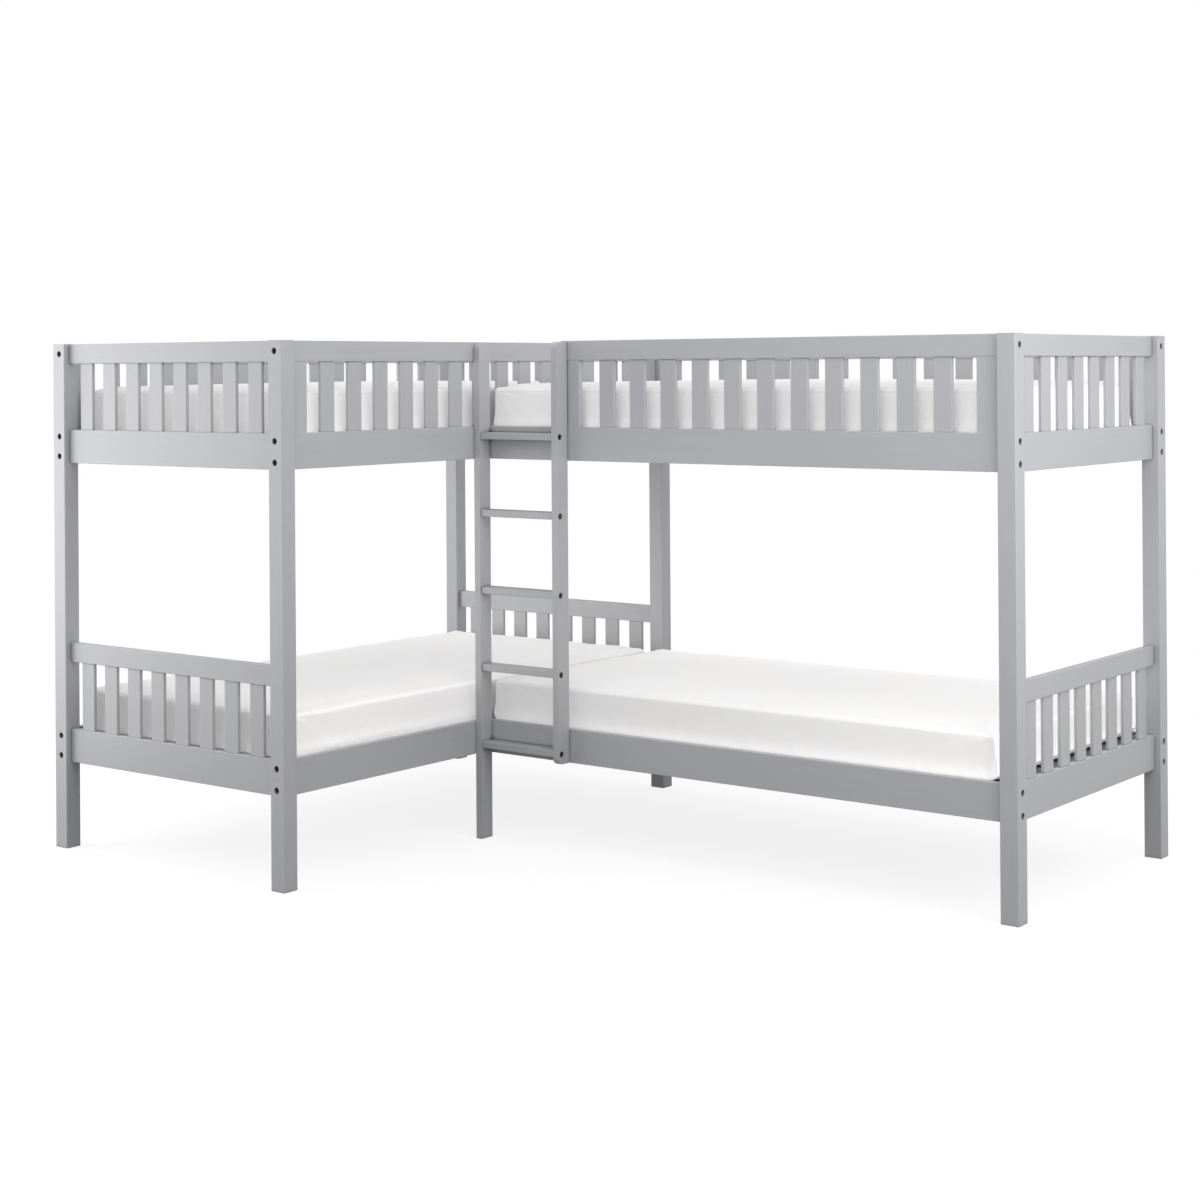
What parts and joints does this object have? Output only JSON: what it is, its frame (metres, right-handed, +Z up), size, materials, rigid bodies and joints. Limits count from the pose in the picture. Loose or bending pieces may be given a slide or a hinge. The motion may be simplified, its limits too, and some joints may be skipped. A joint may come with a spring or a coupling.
{
  "type": "l shaped bunk bed",
  "caption": "L-shaped painted wooden bunk bed: double-deck arms that meet in a corner, slatted guards and end panels, fixed ladder, loose mattresses.",
  "frame": {"origin": "on the floor, under the middle of the bed's outline", "axes": "+X across the bed towards the free end of the right arm, +Y from the left arm's front end to the back, +Z up"},
  "size_m": [3.016, 2.019, 1.664],
  "materials": {
    "painted_wood": "satin light grey paint",
    "slat_wood": "matt grey paint, unsanded underside",
    "bolt_steel": "antique zinc, satin",
    "sheet": "white fitted cotton sheet"
  },
  "bodies": {
    "frame": {"post_front_left": "painted_wood", "post_front_inner": "painted_wood", "post_back_left": "painted_wood", "post_back_inner": "painted_wood", "post_right_front": "painted_wood", "post_right_back": "painted_wood", "upper_front_top_rail": "painted_wood", "upper_front_rail": "painted_wood", "upper_front_slats": "painted_wood", "upper_back_top_rail": "painted_wood", "upper_back_rail": "painted_wood", "upper_back_slats": "painted_wood", "upper_right_top_rail": "painted_wood", "upper_right_rail": "painted_wood", "upper_right_slats": "painted_wood", "lower_front_top_rail": "painted_wood", "lower_front_rail": "painted_wood", "lower_front_slats": "painted_wood", "lower_back_top_rail": "painted_wood", "lower_back_rail": "painted_wood", "lower_back_slats": "painted_wood", "lower_right_top_rail": "painted_wood", "lower_right_rail": "painted_wood", "lower_right_slats": "painted_wood", "guard_left_top_rail": "painted_wood", "guard_left_slats": "painted_wood", "upper_left_side_rail": "painted_wood", "guard_inner_top_rail": "painted_wood", "guard_inner_slats": "painted_wood", "upper_inner_side_rail": "painted_wood", "guard_entry_top_rail": "painted_wood", "guard_entry_slats": "painted_wood", "upper_entry_side_rail": "painted_wood", "guard_back_top_rail": "painted_wood", "guard_back_slats": "painted_wood", "upper_back_side_rail": "painted_wood", "lower_left_side_rail": "painted_wood", "lower_inner_side_rail": "painted_wood", "lower_entry_side_rail": "painted_wood", "lower_back_side_rail": "painted_wood", "ladder_stringer_long": "painted_wood", "ladder_stringer_short": "painted_wood", "ladder_tread_1": "painted_wood", "ladder_tread_2": "painted_wood", "ladder_tread_3": "painted_wood", "ladder_tread_4": "painted_wood", "ladder_tread_5": "painted_wood", "cleats_lower": "slat_wood", "cleats_upper": "slat_wood", "bed_slats_lower_left": "slat_wood", "bed_slats_lower_right": "slat_wood", "bed_slats_upper_left": "slat_wood", "bed_slats_upper_right": "slat_wood", "bolts": "bolt_steel", "barrel_nuts": "bolt_steel", "ladder_screws": "bolt_steel"},
    "mattress_lower_left": {"mattress_lower_left": "sheet"},
    "mattress_lower_right": {"mattress_lower_right": "sheet"},
    "mattress_upper_left": {"mattress_upper_left": "sheet"},
    "mattress_upper_right": {"mattress_upper_right": "sheet"}
  },
  "joints": [
    {"name": "lift_mattress_lower_left", "type": "slide", "parent": "frame", "child": "mattress_lower_left", "axis": [0, 0, 1], "range_m": [0, 0.3]},
    {"name": "lift_mattress_lower_right", "type": "slide", "parent": "frame", "child": "mattress_lower_right", "axis": [0, 0, 1], "range_m": [0, 0.3]},
    {"name": "lift_mattress_upper_left", "type": "slide", "parent": "frame", "child": "mattress_upper_left", "axis": [0, 0, 1], "range_m": [0, 0.45]},
    {"name": "lift_mattress_upper_right", "type": "slide", "parent": "frame", "child": "mattress_upper_right", "axis": [0, 0, 1], "range_m": [0, 0.45]}
  ]
}
